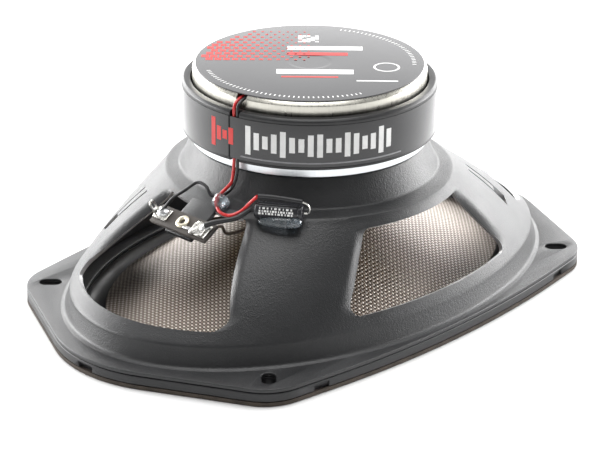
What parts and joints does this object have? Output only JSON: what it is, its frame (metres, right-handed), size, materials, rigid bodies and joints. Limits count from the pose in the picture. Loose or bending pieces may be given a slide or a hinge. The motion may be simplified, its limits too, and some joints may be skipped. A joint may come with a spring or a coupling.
{
  "type": "coaxial car speaker",
  "caption": "Oval two-way car speaker: stamped windowed basket, woven cone with rubber surround, ring-magnet motor in a rubber boot, post-mounted tweeter, rear crossover capacitor and tabs.",
  "frame": {"origin": "centre of the gasket's front face, which is the lowest face of the speaker as it lies on its front", "axes": "+X along the long axis of the oval, away from the terminals; +Z to the rear of the magnet; sound leaves towards -Z"},
  "size_m": [0.242, 0.159, 0.0939],
  "materials": {
    "black_steel": "matte black, fine texture",
    "gasket_fibre": "brown pressed fibre",
    "black_plastic": "satin black",
    "black_rubber": "matte",
    "cone_weave": "coated twill weave",
    "spider_cloth": "treated cloth",
    "felt": "felt",
    "coil_former": "brown film",
    "copper": "enamelled wire",
    "zinc_steel": "bright zinc with a warm tint",
    "ferrite": "ground ceramic",
    "label_film": "glossy printed film",
    "dome_silk": "coated silk",
    "fibre_board": "dark fibre board",
    "tinned": "tinned brass",
    "clear_glue": "translucent hot glue",
    "red_insulation": "red wire insulation",
    "black_insulation": "black wire insulation"
  },
  "bodies": {
    "speaker_frame": {"basket": "black_steel", "front_gasket": "gasket_fibre", "trim_ring": "black_plastic", "surround": "black_rubber", "spider": "spider_cloth", "front_plate": "zinc_steel", "magnet": "ferrite", "yoke": "zinc_steel", "magnet_boot": "black_rubber", "boot_wrap": "label_film", "rear_label": "label_film", "plate_rivet_1": "zinc_steel", "plate_rivet_2": "zinc_steel", "plate_rivet_3": "zinc_steel", "plate_rivet_4": "zinc_steel", "tweeter_post": "zinc_steel", "post_nut": "zinc_steel", "tweeter_pod": "black_plastic", "tweeter_cup": "zinc_steel", "tweeter_magnet": "tinned", "tweeter_pole_plate": "zinc_steel", "tweeter_spacer": "black_plastic", "tweeter_face": "black_plastic", "terminal_board": "fibre_board", "terminal_eyelet": "tinned", "negative_terminal": "tinned", "positive_terminal": "tinned", "tinsel_lead_negative": "copper", "tinsel_lead_positive": "copper", "capacitor": "black_plastic", "capacitor_glue": "clear_glue", "capacitor_lead": "tinned", "splice_sleeve": "black_rubber", "tweeter_wire_positive": "red_insulation", "tweeter_wire_negative": "black_insulation", "wire_glue": "clear_glue", "positive_jumper": "black_insulation"},
    "woofer_cone": {"cone": "cone_weave", "dust_ring": "felt", "voice_coil_former": "coil_former", "voice_coil_winding": "copper"},
    "tweeter_diaphragm": {"tweeter_dome": "dome_silk", "tweeter_coil": "copper"}
  },
  "joints": [
    {"name": "cone_slide", "type": "slide", "parent": "speaker_frame", "child": "woofer_cone", "axis": [0, 0, 1], "range_m": [-0.004, 0.004], "stiffness_N_per_m": 2000, "deforming": ["surround", "spider", "tinsel_lead_negative", "tinsel_lead_positive"]},
    {"name": "tweeter_dome_slide", "type": "slide", "parent": "speaker_frame", "child": "tweeter_diaphragm", "axis": [0, 0, 1], "range_m": [-0.0003, 0.0003], "stiffness_N_per_m": 500}
  ]
}
